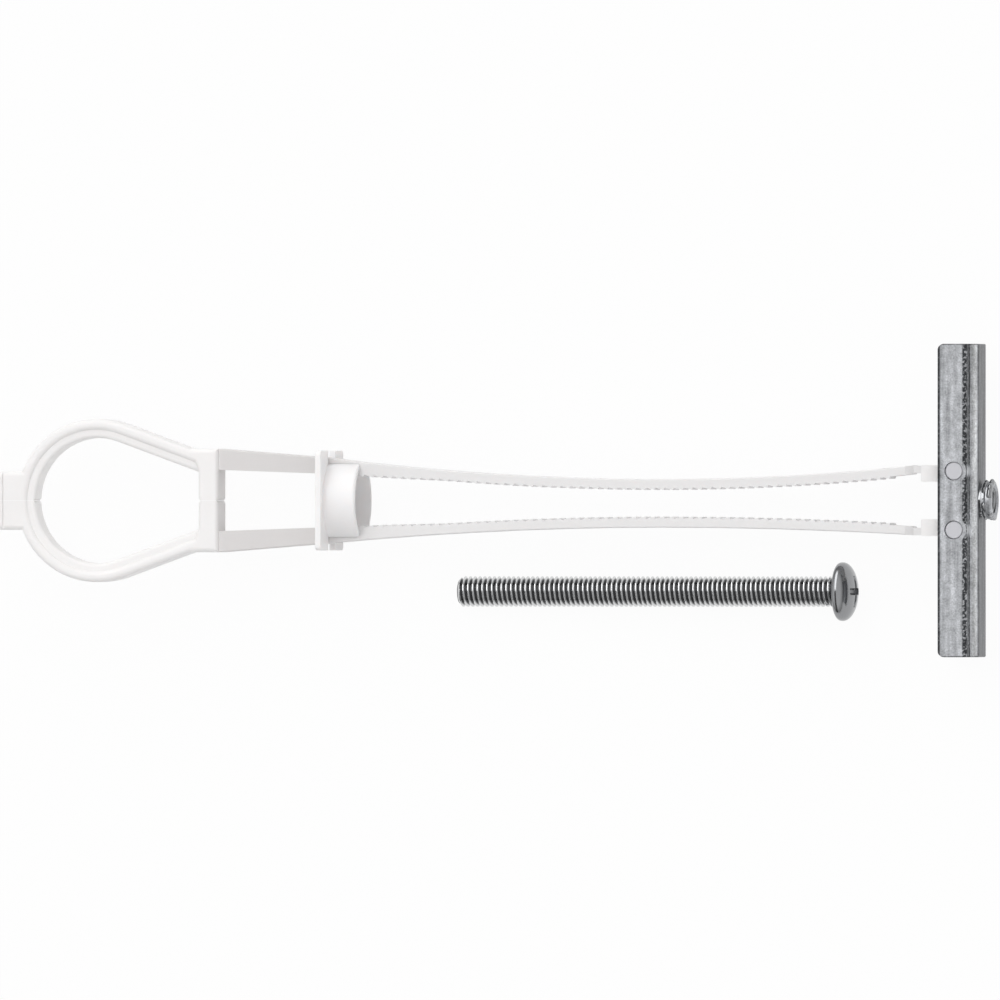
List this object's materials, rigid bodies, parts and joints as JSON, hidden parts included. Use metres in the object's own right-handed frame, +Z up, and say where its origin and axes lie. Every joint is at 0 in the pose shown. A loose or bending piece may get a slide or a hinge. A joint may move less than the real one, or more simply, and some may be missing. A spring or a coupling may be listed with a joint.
{
  "type": "toggle bolt",
  "caption": "Strap-type toggle bolt for hollow walls: a steel channel with a tapped collar, two toothed plastic straps with a split ring handle, a sliding cap and a loose machine screw.",
  "frame": {"origin": "on the bolt axis, at the outer face of the channel's web", "axes": "+X along the bolt axis, away from the handle; +Y along the channel; +Z up, across the width of the straps, as the part lies flat"},
  "size_m": [0.1634, 0.05, 0.016],
  "materials": {
    "channel_steel": "zinc plated, dull bright",
    "strap_plastic": "natural white moulded plastic, satin",
    "cap_plastic": "natural white moulded plastic, satin",
    "screw_steel": "zinc plated, bright"
  },
  "bodies": {
    "strap_upper": {"strap_upper": "strap_plastic", "screw": "screw_steel"},
    "strap_lower": {"strap_lower": "strap_plastic"},
    "channel": {"channel": "channel_steel"},
    "cap": {"cap": "cap_plastic"}
  },
  "joints": [
    {"name": "channel_fold", "type": "hinge", "parent": "strap_upper", "child": "channel", "pos_m": [-0.00353, 0.0047, 0], "axis": [0, 0, 1], "range_deg": [0, 90]},
    {"name": "strap_shift", "type": "slide", "parent": "strap_upper", "child": "strap_lower", "axis": [1, 0, 0], "range_m": [0, 0.00941]},
    {"name": "cap_slide", "type": "slide", "parent": "strap_upper", "child": "cap", "axis": [1, 0, 0], "range_m": [0, 0.077], "deforming": ["strap_upper", "strap_lower"]}
  ],
  "couplings": [
    {"joint": "strap_shift", "follows": "channel_fold", "m_per_rad": 0.0059842}
  ]
}
